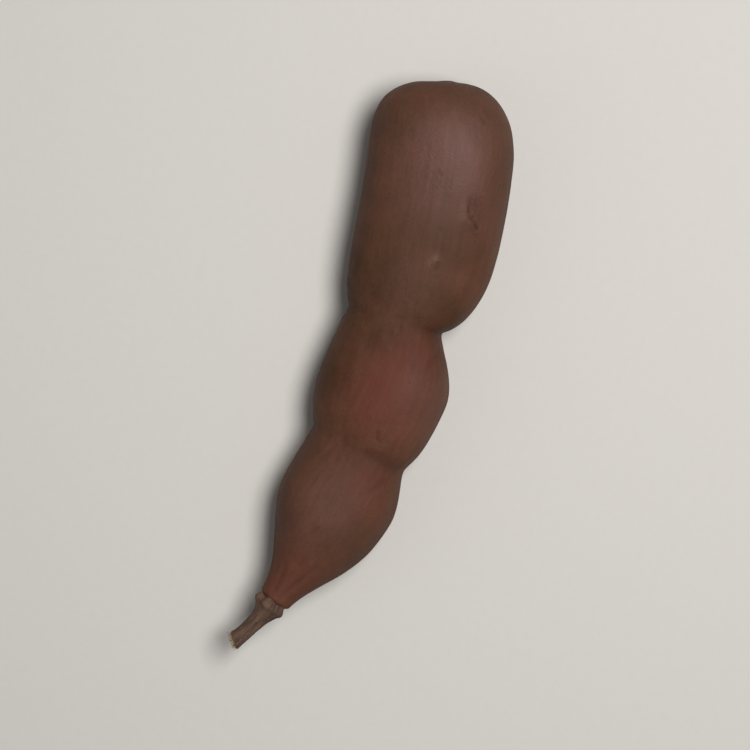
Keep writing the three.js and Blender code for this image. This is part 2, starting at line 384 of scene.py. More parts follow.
def heading(along):
    share = np.clip(along / SHELL_LENGTH, 0, 1)
    return np.radians(BEND_AT_TIP + (BEND_AT_NECK - BEND_AT_TIP) * share**BEND_GROWTH)


def middle_height(along):
    first, last = BELLIES[0]["at"], BELLIES[-1]["at"]
    drop = MIDDLE_DROP * smooth((along - first) / (last - first))
    lift = NECK_LIFT * np.clip((along - last) / (SHELL_LENGTH - last), 0, None) ** 2
    return MIDDLE_HEIGHT - drop + lift


def middle_line(along):
    """Points of the pod's middle line at distances along it from the tip."""
    steps = np.linspace(0, SHELL_LENGTH, LINE_STEPS + 1)
    step = SHELL_LENGTH / LINE_STEPS
    turn = heading((steps[1:] + steps[:-1]) / 2)
    x = np.concatenate([[0], -np.cumsum(np.sin(turn)) * step])
    y = np.concatenate([[0], -np.cumsum(np.cos(turn)) * step])
    return np.stack([np.interp(along, steps, x), np.interp(along, steps, y), middle_height(along)], axis=-1)


def shoulder(side, along, belly, waist, part):
    """How far the shell reaches in one part of a pinch: 0 is the part before it, and 1 the part after it."""
    face = side in ("top", "under")
    fold = waist["folds"]["face" if face else side][part]
    squareness, fullness = waist["shoulders"]["face" if face else "edge"][part]
    off = np.hypot(along - waist["at"], fold) - fold
    share = np.clip(1 - off / (math.hypot(belly["at"] - waist["at"], fold) - fold), 0, 1)
    return waist[side] + (belly[side] - waist[side]) * (1 - share**squareness) ** fullness


def reach(side, along):
    """How far the shell reaches from its middle line on one side."""
    result = np.full_like(along, BELLIES[0][side], dtype=float)
    before = None
    for belly, waist in zip(BELLIES, WAISTS):
        if before:
            rising = (along > before["at"]) & (along < belly["at"])
            result[rising] = shoulder(side, along, belly, before, 1)[rising]
        falling = (along >= belly["at"]) & (along <= waist["at"])
        result[falling] = shoulder(side, along, belly, waist, 0)[falling]
        before = waist
    return result


def cap(along):
    """What the tip's rounding leaves of the reach."""
    left = np.clip(1 - along / CAP_LENGTH, 0, 1)
    return (1 - left**CAP_SQUARENESS) ** (1 / CAP_SQUARENESS)


def arc(turn, degrees, radius):
    """Distance round the shell, with its sign, from an angle given in degrees."""
    off = turn - math.radians(degrees)
    return radius * np.arctan2(np.sin(off), np.cos(off))


def from_place(along, turn, radius, place):
    """Distance over the shell from one place on it."""
    return np.hypot(along - place["at"], arc(turn, place["round"], radius))


def from_chain(along, turn, radius, places):
    """Distance from a chain of places on the shell, and how far through the chain the nearest point is."""
    nearest = np.full_like(along, np.inf)
    through = np.zeros_like(along)
    middle = sum(degrees for _, degrees in places) / len(places)
    here = np.stack([along, arc(turn, middle, radius)], axis=-1)
    local = float(np.median(radius[np.abs(along - places[0][0]) < 1]))
    ends = [np.array([at, local * math.radians(degrees - middle)]) for at, degrees in places]
    for i, (start, end) in enumerate(zip(ends, ends[1:])):
        run = end - start
        share = np.clip((here - start) @ run / (run @ run), 0, 1)
        distance = np.linalg.norm(here - start - share[..., None] * run, axis=-1)
        closer = distance < nearest
        nearest[closer] = distance[closer]
        through[closer] = ((i + share) / (len(ends) - 1))[closer]
    return nearest, through


def broad_relief(along, turn, radius, seam_height, seam_width):
    """The seams, the dip between the first two seeds and the dents.

    The frame's solid has them too, but not the groove along each seam.
    """
    height = np.zeros_like(along)
    for edge in (0, 180):
        off = arc(turn, edge, radius)
        groove = SEAM_GROOVE["depth"] * bump(off, seam_width / SEAM_GROOVE["narrowness"])
        height += seam_height * (bump(off, seam_width) - groove)
    height -= SEED_DIP["depth"] * bump(along - SEED_DIP["at"], SEED_DIP["width"]) * np.sin(turn) ** 2
    for dent in DENTS:
        height -= dent["depth"] * bump(from_place(along, turn, radius, dent), dent["radius"])
    return height


def crease_relief(along, turn, radius):
    """Depth of the creases, and the painted shade in them: how far into one each point is."""
    depth = np.zeros_like(along)
    shade = np.zeros_like(along)
    for crease in CREASES:
        off, through = from_chain(along, turn, radius, (crease["from"], crease["to"]))
        swell = np.clip(CREASE_START + (1 - CREASE_START) * through, 0, 1)
        fade = np.sqrt(np.sin(math.pi * swell).clip(0))
        lip = CREASE_LIP * bump(off - 2 * crease["width"], crease["width"])
        depth += crease["depth"] * fade * (bump(off, crease["width"]) - lip)
        share = min(1, crease["depth"] / PAINTED_CREASE_SHADE["full_depth"])
        shade += share * fade * bump(off, PAINTED_CREASE_SHADE["width"] * crease["width"])
    return depth, shade


def scar_relief(along, turn, radius):
    """Depth of the scars with their raised lips, and how dark each point is."""
    depth = np.zeros_like(along)
    shade = np.zeros_like(along)
    for scar in SCARS:
        off, through = from_chain(along, turn, radius, scar["path"])
        width = np.interp(through, (0, 1), scar["widths"])
        depth += scar["depth"] * (bump(off, width) - SCAR_LIP * bump(off - 2 * width, width))
        shade = np.maximum(shade, scar["tone"] * bump(off, SCAR_SHADE * width))
    return depth, shade


def ring_places(rings):
    """Distances of the rings: close together on the rounded tip, then even to the neck."""
    quarter = np.linspace(0, math.pi / 2, CAP_RINGS + 1)[1:]
    tip = CAP_LENGTH * (1 - np.cos(quarter) ** (2 / CAP_SQUARENESS))
    return np.concatenate([tip, np.linspace(CAP_LENGTH, SHELL_LENGTH, rings - CAP_RINGS + 1)[1:]])


def shell_points(settings):
    """The shell's points in rings, in millimetres, with the values that its materials and flakes read."""
    angles = np.arange(settings.sides) / settings.sides * 2 * math.pi
    along, turn = np.meshgrid(ring_places(settings.rings), angles, indexing="ij")
    near, far = np.cos(turn), np.sin(turn)
    reaches = {side: reach(side, along) * cap(along) for side in ("convex", "top", "concave", "under")}
    across = np.abs(near) / np.where(near > 0, reaches["convex"], reaches["concave"])
    upright = np.abs(far) / np.where(far > 0, reaches["top"], reaches["under"])
    bare = (across**ROUNDNESS + upright**ROUNDNESS) ** (-1 / ROUNDNESS)

    broad = broad_relief(along, turn, bare, settings.seam_height / MM, settings.seam_width / MM)
    creases, painted_crease_shade = crease_relief(along, turn, bare)
    scars, scar_shade = scar_relief(along, turn, bare)
    rubs = [bump(from_place(along, turn, bare, rub), rub["radius"]) for rub in RUBS]
    blisters = sum(rub["height"] * share for rub, share in zip(RUBS, rubs))
    lip = smooth((along - SHELL_LENGTH + NECK_LIP["length"]) / NECK_LIP["length"])
    radius = bare + (broad - creases - scars + blisters) * cap(along) - NECK_LIP["turn_in"] * lip**2

    turned = turn + np.radians(TWIST_AT_TIP + (TWIST_AT_NECK - TWIST_AT_TIP) * along / SHELL_LENGTH)
    lean = CAP_LEAN * np.clip(1 - along / CAP_LENGTH, 0, None) ** 2
    sideways = radius * np.cos(turned) - lean
    angle = heading(along)
    points = middle_line(along)
    nub = STYLE_SCAR["height"] * bump(bare, STYLE_SCAR["radius"]) * (along < CAP_LENGTH)
    points[..., 0] += sideways * np.cos(angle) + nub * np.sin(angle)
    points[..., 1] += -sideways * np.sin(angle) + nub * np.cos(angle)
    points[..., 2] += radius * np.sin(turned)
    height = points[..., 2]
    points[..., 2] = (height + np.sqrt(height**2 + SETTLE**2)) / 2

    neck = NECK_PUCKERS["share"] * smooth((along - NECK_PUCKERS["from"]) / NECK_PUCKERS["length"])
    pinch = sum(bump(along - waist["at"], PUCKERS["width"]) for waist in WAISTS[:-1]) + neck
    seam = (1 - PUCKERS["seam_share"]) * bump(arc(turn, 0, bare), PUCKERS["seam_width"])
    style = bump(bare, STYLE_SCAR["shade"] * STYLE_SCAR["radius"]) * (along < CAP_LENGTH)
    values = {
        "pinch": pinch * (1 - seam),
        # The crease value is painted shade in the creases.
        "crease": painted_crease_shade,
        "scar": np.maximum(scar_shade, style),
        "rub": sum(rub["tone"] * share for rub, share in zip(RUBS, rubs)),
    }
    for name, places in HUES.items():
        values[name] = sum(
            place["share"] * bump(from_place(along, turn, bare, place), place["radius"]) for place in places
        )
    values = {name: np.clip(value, 0, 1) for name, value in values.items()}
    straight = np.stack([along, bare * near, bare * far], axis=-1)
    return points, straight, values


def skin(name, rings):
    """A closed mesh over rings of equally many points, with a middle point at each end."""
    count, sides, _ = rings.shape
    points = np.concatenate([rings.reshape(-1, 3), rings[[0, -1]].mean(axis=1)])
    ring, side = np.meshgrid(np.arange(count - 1), np.arange(sides), indexing="ij")
    here = ring * sides + side
    beside = ring * sides + (side + 1) % sides
    quads = np.stack([here, beside, beside + sides, here + sides], axis=-1).reshape(-1, 4)
    edge = np.arange(sides)
    following = (edge + 1) % sides
    last = (count - 1) * sides
    first_fan = np.stack([np.full(sides, count * sides), following, edge], axis=-1)
    last_fan = np.stack([np.full(sides, count * sides + 1), last + edge, last + following], axis=-1)
    mesh = bpy.data.meshes.new(name)
    mesh.from_pydata(points.tolist(), [], quads.tolist() + first_fan.tolist() + last_fan.tolist())
    mesh.update()
    return mesh


def store(mesh, name, rings):
    """Keeps a value for each ring point on the mesh, and the mean of the end ring for each end point."""
    flat = rings.reshape(rings.shape[0] * rings.shape[1], -1)
    ends = rings[[0, -1]].mean(axis=1).reshape(2, -1)
    values = np.concatenate([flat, ends]).astype(np.float32)
    kind, field = ("FLOAT_VECTOR", "vector") if values.shape[1] == 3 else ("FLOAT", "value")
    mesh.attributes.new(name, kind, "POINT").data.foreach_set(field, values.ravel())


def feed(tree, node, inputs):
    """Sets a node's inputs to values, or links them to sockets or to the first outputs of other nodes.

    An input goes by its name or its number. A Map Range's 1 and 2 are the ends of the range that it reads,
    and 3 and 4 the ends of the one that it gives. A Mix of colours has its factor at 0 and its colours at 6
    and 7, and gives its colour at 2.
    """
    for name, source in inputs.items():
        if isinstance(source, bpy.types.Node):
            source = source.outputs[0]
        if isinstance(source, bpy.types.NodeSocket):
            tree.links.new(source, node.inputs[name])
        else:
            node.inputs[name].default_value = source


def add_node(tree, kind, inputs=None, **settings):
    """Adds a node with its settings, and feeds it."""
    node = tree.nodes.new(kind)
    for name, value in settings.items():
        setattr(node, name, value)
    feed(tree, node, inputs or {})
    return node


def geometry_tree(name, inputs, carried=()):
    """A geometry tree with an input for each given value, and by name what feeds it.

    That is its inputs, and the values that the mesh carries at its points.
    """
    tree = bpy.data.node_groups.new(name, "GeometryNodeTree")
    tree.interface.new_socket("Geometry", in_out="INPUT", socket_type="NodeSocketGeometry")
    kinds = {int: "NodeSocketInt", float: "NodeSocketFloat", bpy.types.Material: "NodeSocketMaterial"}
    for label, value in inputs.items():
        kind = kinds[bpy.types.Material if isinstance(value, bpy.types.Material) else type(value)]
        tree.interface.new_socket(label, in_out="INPUT", socket_type=kind)
    tree.interface.new_socket("Geometry", in_out="OUTPUT", socket_type="NodeSocketGeometry")
    given = dict(add_node(tree, "NodeGroupInput").outputs.items())
    for value in carried:
        kind = "FLOAT_VECTOR" if value in VECTORS else "FLOAT"
        given[value] = add_node(tree, "GeometryNodeInputNamedAttribute", {"Name": value}, data_type=kind)
    return tree, given


def close_tree(tree, geometry, material):
    """Ends a geometry tree: smooth faces, real points in place of instances, and the material."""
    smoothed = add_node(tree, "GeometryNodeSetShadeSmooth", {"Geometry": geometry})
    real = add_node(tree, "GeometryNodeRealizeInstances", {"Geometry": smoothed})
    dressed = add_node(tree, "GeometryNodeSetMaterial", {"Geometry": real, "Material": material})
    add_node(tree, "NodeGroupOutput", {"Geometry": dressed})


def tree_inputs(look, names, material):
    """The named settings and a material, as a geometry tree's inputs under their labels."""
    labels = look.bl_rna.properties
    return {labels[name].name: getattr(look, name) for name in names} | {"Material": material}


def grown(name, source, tree, inputs):
    """Runs a geometry tree on a mesh or curve, and returns the result as an object with a plain mesh."""
    carrier = bpy.data.objects.new(name + " source", source)
    bpy.context.scene.collection.objects.link(carrier)
    modifier = carrier.modifiers.new(name, "NODES")
    modifier.node_group = tree
    for socket in tree.interface.items_tree:
        if socket.in_out == "INPUT" and socket.name in inputs:
            modifier[socket.identifier] = inputs[socket.name]
    depsgraph = bpy.context.evaluated_depsgraph_get()
    mesh = bpy.data.meshes.new_from_object(carrier.evaluated_get(depsgraph), depsgraph=depsgraph)
    if not mesh.polygons:
        raise RuntimeError(f"the geometry tree of {name} made no faces")
    carrier.modifiers.clear()
    bpy.data.objects.remove(carrier)
    mesh.name = name
    piece = bpy.data.objects.new(name, mesh)
    bpy.context.scene.collection.objects.link(piece)
    return piece


def frame_shift(points, node):
    """How far the form's own origin is from the frame's, in millimetres, from the boxes' middles."""
    low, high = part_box(node)
    middle = (np.array(low) + np.array(high)) / 2 / MM
    own = (points.reshape(-1, 3).min(axis=0) + points.reshape(-1, 3).max(axis=0)) / 2
    return np.array([middle[0] - own[0], middle[1] - own[1], 0])


def stretched(tree, source, lengthwise, crosswise):
    """A vector that reads a pattern in the straightened pod, with its own widths along and across it."""
    scale = (1 / (lengthwise * MM), 1 / (crosswise * MM), 1 / (crosswise * MM))
    return add_node(tree, "ShaderNodeVectorMath", {0: source, 1: scale}, operation="MULTIPLY")


def new_material(name):
    """A material with its node tree and its surface shader."""
    material = bpy.data.materials.new(name)
    material.use_nodes = True
    return material, material.node_tree, material.node_tree.nodes["Principled BSDF"]


def shell_material(look):
    """Dry tamarind shell: a brittle woody skin, dried on the tree and dusted with its own fine scurf.

    The eye sees a satin-matt brown. It drifts to mauve under the dust, and to red where it has worn thin and
    where reddish reflected light is painted on the second lobe. It drifts to olive where shade is painted at
    the side and in the pinches. It has a soft gloss that the grain breaks up, painted shade in the creases,
    and dark broken lines where it is scarred.
    """
    material, tree, surface = new_material("dry tamarind shell")
    place = add_node(tree, "ShaderNodeTexCoord").outputs["Object"]
    straight = add_node(tree, "ShaderNodeAttribute", attribute_name="straight").outputs["Vector"]
    marks = {
        name: add_node(tree, "ShaderNodeAttribute", attribute_name=name).outputs["Fac"]
        for name in ("crease", "scar", "rub", *HUES)
    }

    # Patches 12 mm across turn the tan to umber.
    patches = add_node(tree, "ShaderNodeTexNoise", {"Vector": place, "Scale": 1 / (12 * MM), "Detail": 3})
    patchy = add_node(tree, "ShaderNodeMapRange", {0: patches, 1: 0.38, 2: 0.62})
    colour = add_node(tree, "ShaderNodeMix", {0: patchy, 6: look.tan, 7: look.umber}, data_type="RGBA")

    # The drifts of hue are broken up by clouds 5 mm across.
    clouds = add_node(
        tree, "ShaderNodeTexNoise", {"Vector": place, "Scale": 1 / (5 * MM), "Detail": 4, "Roughness": 0.6}
    )
    cloudy = add_node(tree, "ShaderNodeMapRange", {0: clouds, 1: 0.3, 2: 0.65, 3: 0.4, 4: 1.15})
    # The olive mix paints shade on the shell, and the russet mix paints reddish reflected light on the second
    # lobe, besides their own hues.
    for name, hue in (("olive", look.olive), ("worn", look.russet_and_red_reflection), ("dusty", look.mauve)):
        share = add_node(
            tree, "ShaderNodeMath", {0: marks[name], 1: cloudy}, operation="MULTIPLY", use_clamp=True
        )
        colour = add_node(tree, "ShaderNodeMix", {0: share, 6: colour.outputs[2], 7: hue}, data_type="RGBA")

    # Fine streaks along the shell, 0.9 mm apart and ten times as long, darken and lighten it a little.
    streaks = add_node(
        tree, "ShaderNodeTexNoise", {"Vector": stretched(tree, straight, 9, 0.9), "Scale": 1, "Detail": 3}
    )
    streaky = add_node(tree, "ShaderNodeMapRange", {0: streaks, 1: 0.3, 2: 0.7, 3: 0.92, 4: 1.07})
    lined = add_node(
        tree, "ShaderNodeVectorMath", {0: colour.outputs[2], "Scale": streaky}, operation="SCALE"
    )

    # Grains of dust about 0.6 mm wide pale it, where it is thick and in the rubs.
    dust = add_node(
        tree, "ShaderNodeTexNoise", {"Vector": place, "Scale": 1 / (0.6 * MM), "Detail": 5, "Roughness": 0.7}
    )
    thick = add_node(tree, "ShaderNodeMapRange", {0: marks["dusty"], 3: 0.08, 4: 0.28})
    dusted = add_node(tree, "ShaderNodeMapRange", {0: dust, 1: 0.42, 2: 0.8, 4: thick})
    rubbing = add_node(tree, "ShaderNodeMapRange", {0: dust, 1: 0.35, 2: 0.65, 3: 0.1, 4: 0.6})
    pale = add_node(
        tree, "ShaderNodeMath", {0: marks["rub"], 1: rubbing, 2: dusted}, operation="MULTIPLY_ADD"
    )
    paled = add_node(tree, "ShaderNodeMix", {0: pale, 6: lined, 7: look.bloom}, data_type="RGBA")

    # Soft dark specks about 0.4 mm wide stand in some of the cells of 2.6 mm.
    cells = add_node(tree, "ShaderNodeTexVoronoi", {"Vector": place, "Scale": 1 / (2.6 * MM)})
    near = add_node(
        tree, "ShaderNodeMapRange", {0: cells.outputs["Distance"], 1: 0.03, 2: 0.16, 3: 0.25, 4: 0}
    )
    some = add_node(tree, "ShaderNodeMapRange", {0: cells.outputs["Color"], 1: 0.7, 2: 0.85})
    specks = add_node(tree, "ShaderNodeMath", {0: near, 1: some}, operation="MULTIPLY")

    # Grains of 0.7 mm break up the scars, so that no line on the shell has an even edge.
    grains = add_node(tree, "ShaderNodeTexNoise", {"Vector": place, "Scale": 1 / (0.7 * MM), "Detail": 3})
    breaks = add_node(tree, "ShaderNodeMapRange", {0: grains, 1: 0.35, 2: 0.6, 3: 0.35, 4: 1.1})
    scarred = add_node(tree, "ShaderNodeMath", {0: marks["scar"], 1: breaks}, operation="MULTIPLY")
    # The creases are darkened with painted shade. The scars and specks are the shell's own dark marks.
    painted_crease_darkness = add_node(tree, "ShaderNodeMath", {0: marks["crease"], 1: 0.6}, operation="MULTIPLY")
    lines = add_node(tree, "ShaderNodeMath", {0: painted_crease_darkness, 1: scarred}, operation="MAXIMUM")
    darkness = add_node(tree, "ShaderNodeMath", {0: lines, 1: specks}, operation="MAXIMUM", use_clamp=True)
    marked = add_node(
        tree, "ShaderNodeMix", {0: darkness, 6: paled.outputs[2], 7: look.crease}, data_type="RGBA"
    )

    # Thick dust is fine and close, and takes a soft gloss. The worn shell is scurfy and duller.
    closeness = add_node(tree, "ShaderNodeMapRange", {0: marks["dusty"], 3: 0.62, 4: 0.46})
    rough = add_node(tree, "ShaderNodeMapRange", {0: dust, 1: 0.3, 2: 0.7, 4: 0.17})
    roughness = add_node(tree, "ShaderNodeMath", {0: closeness, 1: rough}, operation="ADD")

    # Shallow hollows 2.2 mm across, veins every 1.2 mm and a grain of 0.35 mm.
    hollows = add_node(tree, "ShaderNodeTexNoise", {"Vector": place, "Scale": 1 / (2.2 * MM), "Detail": 2})
    veins = add_node(
        tree, "ShaderNodeTexNoise", {"Vector": stretched(tree, straight, 6, 1.2), "Scale": 1, "Detail": 2}
    )
    scurf = add_node(
        tree, "ShaderNodeTexNoise",
        {"Vector": place, "Scale": 1 / (0.35 * MM), "Detail": 4, "Roughness": 0.65},
    )
    hollowed = add_node(tree, "ShaderNodeBump", {"Strength": 0.4, "Distance": 0.25 * MM, "Height": hollows})
    veined = add_node(
        tree, "ShaderNodeBump", {"Strength": 0.5, "Distance": 0.12 * MM, "Height": veins, "Normal": hollowed}
    )
    grained = add_node(
        tree, "ShaderNodeBump", {"Strength": 0.7, "Distance": 0.14 * MM, "Height": scurf, "Normal": veined}
    )
    feed(tree, surface, {
        "Base Color": marked.outputs[2],
        "Roughness": roughness,
        "Specular IOR Level": 0.26,
        "Normal": grained,
    })
    return material


def mottled_material(name, colour, grain, shades, roughness, gloss):
    """A dull material of one colour, shaded by soft grains of one width in millimetres."""
    material, tree, surface = new_material(name)
    place = add_node(tree, "ShaderNodeTexCoord").outputs["Object"]
    grains = add_node(tree, "ShaderNodeTexNoise", {"Vector": place, "Scale": 1 / (grain * MM), "Detail": 2})
    shade = add_node(tree, "ShaderNodeMapRange", {0: grains, **shades})
    tone = add_node(tree, "ShaderNodeVectorMath", {0: colour[:3], "Scale": shade}, operation="SCALE")
    feed(tree, surface, {"Base Color": tone, "Roughness": roughness, "Specular IOR Level": gloss})
    return material


def scurf_material(look):
    """Scurf: the thin dead outer skin of the shell, shed in flakes, dull and drier than what it lies on.

    Its tone varies in clouds 3 mm across.
    """
    return mottled_material("scurf flakes", look.tone, 3, {1: 0.3, 2: 0.7, 3: 0.75, 4: 1.15}, 0.75, 0.3)


def bark_material(look, end):
    """Tamarind twig: thin dry bark, wrinkled along the stalk, round pale wood with a dark pith at the cut."""
    material, tree, surface = new_material("tamarind bark")
    along = add_node(tree, "ShaderNodeAttribute", attribute_name="along").outputs["Fac"]
    rim = add_node(tree, "ShaderNodeAttribute", attribute_name="rim").outputs["Vector"]
    cut = add_node(tree, "ShaderNodeAttribute", attribute_name="cut").outputs["Fac"]
    lengthwise = add_node(tree, "ShaderNodeCombineXYZ", {2: along})
    place = add_node(tree, "ShaderNodeVectorMath", {0: rim, 1: lengthwise}, operation="ADD")

    # Wrinkles of 0.7 mm along the stalk, with dark furrows between them.
    widths = (1 / (0.7 * MM), 1 / (0.7 * MM), 1 / (5 * MM))
    drawn = add_node(tree, "ShaderNodeVectorMath", {0: place, 1: widths}, operation="MULTIPLY")
    wrinkles = add_node(
        tree, "ShaderNodeTexNoise", {"Vector": drawn, "Scale": 1, "Detail": 4, "Roughness": 0.65}
    )
    furrows = add_node(tree, "ShaderNodeMapRange", {0: wrinkles, 1: 0.35, 2: 0.6})
    bark = add_node(tree, "ShaderNodeMix", {0: furrows, 6: look.bark_dark, 7: look.bark}, data_type="RGBA")
    ended = add_node(tree, "ShaderNodeMix", {0: cut, 6: bark.outputs[2], 7: look.wood}, data_type="RGBA")
    pith_start = end + PITH * CUT_RINGS * CUT_STEP * MM
    pith = add_node(
        tree, "ShaderNodeMapRange", {0: along, 1: pith_start, 2: pith_start + CUT_STEP * MM, 4: 0.7}
    )
    colour = add_node(
        tree, "ShaderNodeMix", {0: pith, 6: ended.outputs[2], 7: look.bark_dark}, data_type="RGBA"
    )
    grained = add_node(tree, "ShaderNodeBump", {"Strength": 0.8, "Distance": 0.1 * MM, "Height": wrinkles})
    feed(tree, surface, {
        "Base Color": colour.outputs[2],
        "Roughness": 0.82,
        "Specular IOR Level": 0.3,
        "Normal": grained,
    })
    return material


def fibre_material(look):
    """Torn wood fibres: dry and pale, browner in some strands 0.2 mm wide."""
    return mottled_material("torn wood fibres", look.wood, 0.2, {1: 0.3, 2: 0.7, 3: 0.6, 4: 1.1}, 0.8, 0.3)


def cork_material(look):
    """Dry cork: the warts' powdery skin, dull, with grains of 0.15 mm."""
    return mottled_material("dry cork", look.wart, 0.15, {1: 0.3, 2: 0.7, 3: 0.7, 4: 1.1}, 0.88, 0.2)


def board_material(look):
    """Painted board: a pale ground, even and dull, with a faint grain of 1.5 mm."""
    return mottled_material("painted board", look.floor, 1.5, {3: 0.98, 4: 1.02}, 0.9, 0.2)


def pushed_out(tree, geometry, height, share):
    """Moves the surface out along its normal by a height, in a share of it that varies over the surface."""
    normal = add_node(tree, "GeometryNodeInputNormal").outputs["Normal"]
    part = add_node(tree, "ShaderNodeMath", {0: height, 1: share}, operation="MULTIPLY")
    offset = add_node(tree, "ShaderNodeVectorMath", {0: normal, "Scale": part}, operation="SCALE")
    return add_node(tree, "GeometryNodeSetPosition", {"Geometry": geometry, "Offset": offset})


def shell_tree(inputs):
    """Geometry tree for the shell's random relief: broad swells, puckers beside the pinches, and veins."""
    tree, given = geometry_tree("Shell relief", inputs, ("pinch", "straight"))
    place = add_node(tree, "GeometryNodeInputPosition")
    drawn = add_node(
        tree, "ShaderNodeVectorMath", {0: given["straight"], 1: (VEIN_DRAW, 1, 1)}, operation="MULTIPLY"
    )
    surface = given["Geometry"]
    for name, vector, share in (
        ("Swell", place, 1),
        ("Pucker", place, given["pinch"]),
        ("Vein", drawn, 1),
    ):
        finer = add_node(tree, "ShaderNodeMath", {0: 1, 1: given[name + " width"]}, operation="DIVIDE")
        waves = add_node(
            tree, "ShaderNodeTexNoise", {"Vector": vector, "W": given["Seed"], "Scale": finer, "Detail": 1.5},
            noise_dimensions="4D",
        )
        centred = add_node(tree, "ShaderNodeMapRange", {0: waves, 3: -1, 4: 1})
        height = add_node(
            tree, "ShaderNodeMath", {0: centred, 1: given[name + " height"]}, operation="MULTIPLY"
        )
        surface = pushed_out(tree, surface, height, share)
    close_tree(tree, surface, given["Material"])
    return tree


def scattered(tree, given, shape, size, spread, smallest, tilt):
    """Scatters a shape over the surface, and turns, tilts and sizes each copy at random.

    The spread holds the least distance, the most on a square metre, and the share of it at each place.
    """
    seed = given["Seed"]
    points = add_node(
        tree, "GeometryNodeDistributePointsOnFaces", {"Mesh": given["Geometry"], "Seed": seed, **spread},
        distribute_method="POISSON",
    )
    spin = add_node(
        tree, "FunctionNodeRandomValue", {0: (-tilt, -tilt, 0), 1: (tilt, tilt, 2 * math.pi), "Seed": seed},
        data_type="FLOAT_VECTOR",
    )
    spun = add_node(tree, "FunctionNodeEulerToRotation", {0: spin})
    turned = add_node(
        tree, "FunctionNodeRotateRotation", {0: points.outputs["Rotation"], 1: spun}, rotation_space="LOCAL"
    )
    sizes = add_node(tree, "FunctionNodeRandomValue", {2: smallest, 3: 1, "Seed": seed}, data_type="FLOAT")
    scale = add_node(tree, "ShaderNodeMath", {0: sizes.outputs[1], 1: size}, operation="MULTIPLY")
    return add_node(
        tree, "GeometryNodeInstanceOnPoints",
        {"Points": points.outputs["Points"], "Instance": shape, "Rotation": turned, "Scale": scale},
    )


def scurf_tree(inputs):
    """Geometry tree that scatters flakes over the shell: most beside the pinches, few where dust is thick."""
    tree, given = geometry_tree("Scurf", inputs, ("pinch", "dusty"))
    place = add_node(tree, "GeometryNodeInputPosition")
    clouds = add_node(tree, "ShaderNodeTexNoise", {"Vector": place, "Scale": 1 / (9 * MM), "Detail": 2})
    cloudy = add_node(tree, "ShaderNodeMapRange", {0: clouds, 1: 0.4, 2: 0.65})
    often = add_node(
        tree, "ShaderNodeMath", {0: given["pinch"], 1: 0.6, 2: cloudy}, operation="MULTIPLY_ADD",
        use_clamp=True,
    )
    bare = add_node(tree, "ShaderNodeMapRange", {0: given["dusty"], 2: 0.5, 3: 1, 4: 0})
    density = add_node(tree, "ShaderNodeMath", {0: often, 1: bare}, operation="MULTIPLY")
    ball = add_node(tree, "GeometryNodeMeshIcoSphere", {"Radius": 0.5, "Subdivisions": 2})
    flatness = add_node(tree, "ShaderNodeCombineXYZ", {0: 1, 1: 0.7, 2: given["Flatness"]})
    flake = add_node(tree, "GeometryNodeTransform", {"Geometry": ball, "Scale": flatness})
    spread = {"Distance Min": given["Spacing"], "Density Max": FLAKE_DENSITY, "Density Factor": density}
    flakes = scattered(tree, given, flake, given["Flake width"], spread, smallest=0.3, tilt=0.12)
    close_tree(tree, flakes, given["Material"])
    return tree


def catmull_rom(points, count):
    """Evenly stepped points of the smooth curve through the given ones."""
    points = np.array(points, dtype=float)
    place = np.linspace(0, len(points) - 1, count)
    i = np.minimum(place.astype(int), len(points) - 2)
    share = (place - i)[:, None]
    before, start = points[np.maximum(i - 1, 0)], points[i]
    end, after = points[i + 1], points[np.minimum(i + 2, len(points) - 1)]
    leave, arrive = (end - before) / 2, (after - start) / 2
    return (
        (2 * start - 2 * end + leave + arrive) * share**3
        + (-3 * start + 3 * end - 2 * leave - arrive) * share**2
        + leave * share
        + start
    )


def stalk_direction(share):
    sideways = heading(np.float64(SHELL_LENGTH)) + math.radians(STALK_BEND) * share
    up = math.radians(STALK_RISE) * share
    return np.array([-math.sin(sideways) * math.cos(up), -math.cos(sideways) * math.cos(up), math.sin(up)])


def stalk_path(steps, shift):
    """The stalk's own line as rows of x, y, z and radius, in metres: the root, the stalk and the cut end."""
    profile = catmull_rom(STALK_PROFILE, steps)
    centre = middle_line(np.float64(SHELL_LENGTH)) + shift
    direction = stalk_direction(0)
    rows = [(*(centre - direction * (STALK_ROOT - STALK_GAP)), ROOT_RADIUS)]
    centre = centre + direction * STALK_GAP
    before = 0
    for along, radius in profile:
        direction = stalk_direction(along / STALK_LENGTH)
        centre = centre + direction * (along - before)
        before = along
        rows.append((*centre, radius))
    for ring in range(1, CUT_RINGS + 1):
        centre = centre + direction * CUT_STEP
        rows.append((*centre, rows[steps][3] * max(CUT_MIDDLE, 1 - ring / CUT_RINGS)))
    return np.array(rows) * MM, direction


def stalk_curve(rows):
    curve = bpy.data.curves.new("stalk path", "CURVE")
    curve.dimensions = "3D"
    spline = curve.splines.new("POLY")
    spline.points.add(len(rows) - 1)
    for point, (x, y, z, radius) in zip(spline.points, rows):
        point.co = (x, y, z, 1)
        point.radius = radius
    return curve


